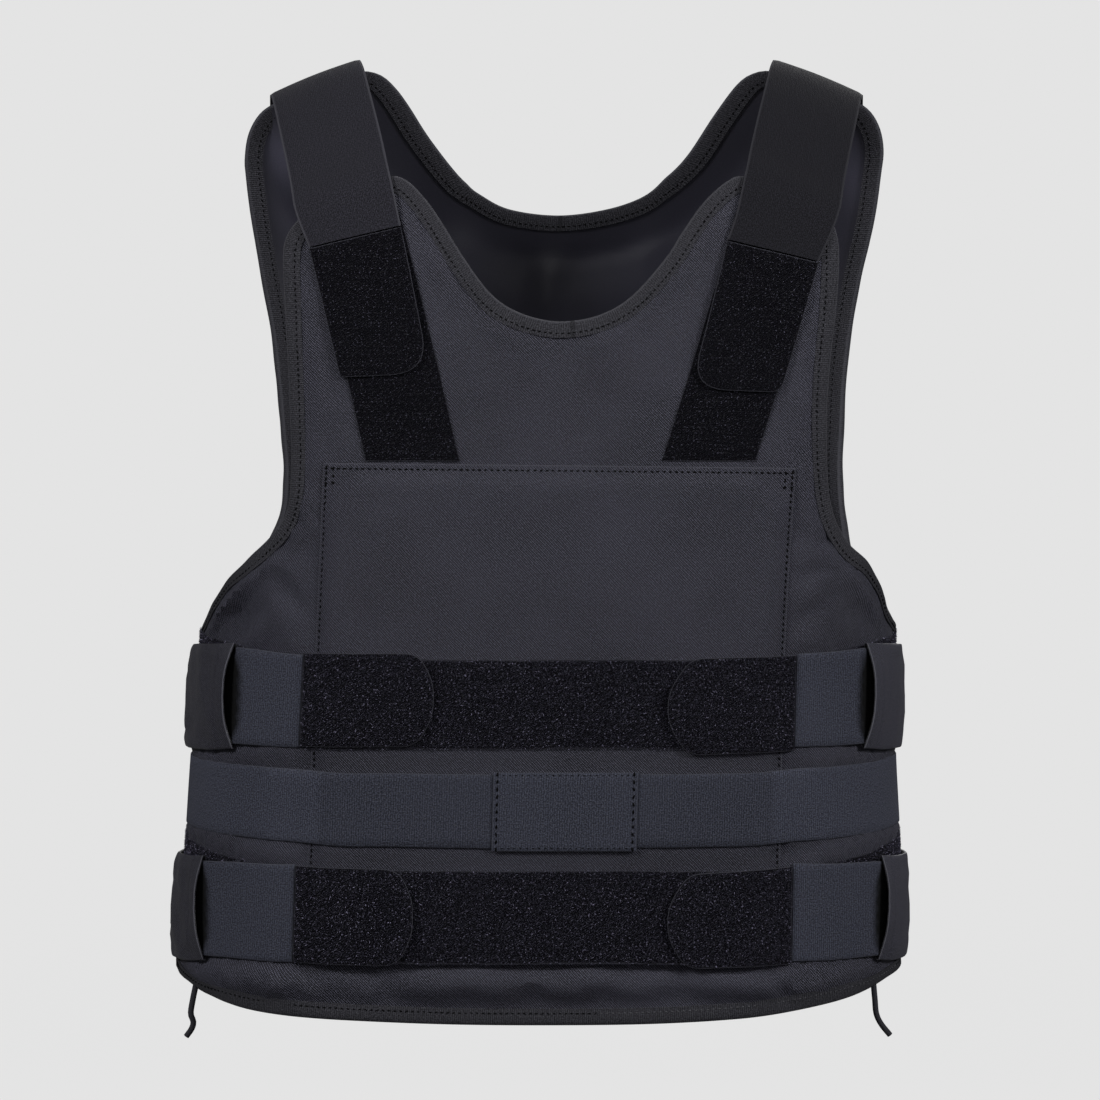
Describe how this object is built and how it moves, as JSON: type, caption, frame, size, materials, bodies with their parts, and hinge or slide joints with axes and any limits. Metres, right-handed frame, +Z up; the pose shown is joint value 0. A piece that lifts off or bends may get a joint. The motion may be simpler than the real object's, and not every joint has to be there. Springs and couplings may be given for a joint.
{
  "type": "protective vest",
  "caption": "Padded torso vest with a round neck, open armholes, elastic shoulder and side straps held by pile tabs, a waist band and a plate pocket on the front.",
  "frame": {"origin": "between the shoulders, level with the middle of the shoulder straps where the vest sits", "axes": "+X to the right as seen from the front, +Y to the back, +Z up; the front faces -Y"},
  "size_m": [0.4355, 0.2353, 0.5761],
  "materials": {
    "twill": "fine diagonal twill",
    "lining": "smooth satin lining",
    "trim": "ribbed edge tape",
    "pile": "short looped pile",
    "elastic": "ribbed elastic webbing"
  },
  "bodies": {
    "root": {"back_binding": "trim", "back_panel": "lining", "band_patch": "elastic", "front_binding": "trim", "front_panel": "twill", "hem_tie_left": "trim", "hem_tie_right": "trim", "lower_loop_strip": "pile", "lower_side_strap_left": "elastic", "lower_side_strap_right": "elastic", "lower_side_tab_left": "pile", "lower_side_tab_right": "pile", "lower_sleeve_left": "twill", "lower_sleeve_right": "twill", "plate_pocket": "twill", "shoulder_loop_strip_left": "pile", "shoulder_loop_strip_right": "pile", "shoulder_strap_left": "elastic", "shoulder_strap_right": "elastic", "shoulder_tab_left": "pile", "shoulder_tab_right": "pile", "upper_loop_strip": "pile", "upper_side_strap_left": "elastic", "upper_side_strap_right": "elastic", "upper_side_tab_left": "pile", "upper_side_tab_right": "pile", "upper_sleeve_left": "twill", "upper_sleeve_right": "twill", "waist_band": "elastic"}
  },
  "joints": []
}
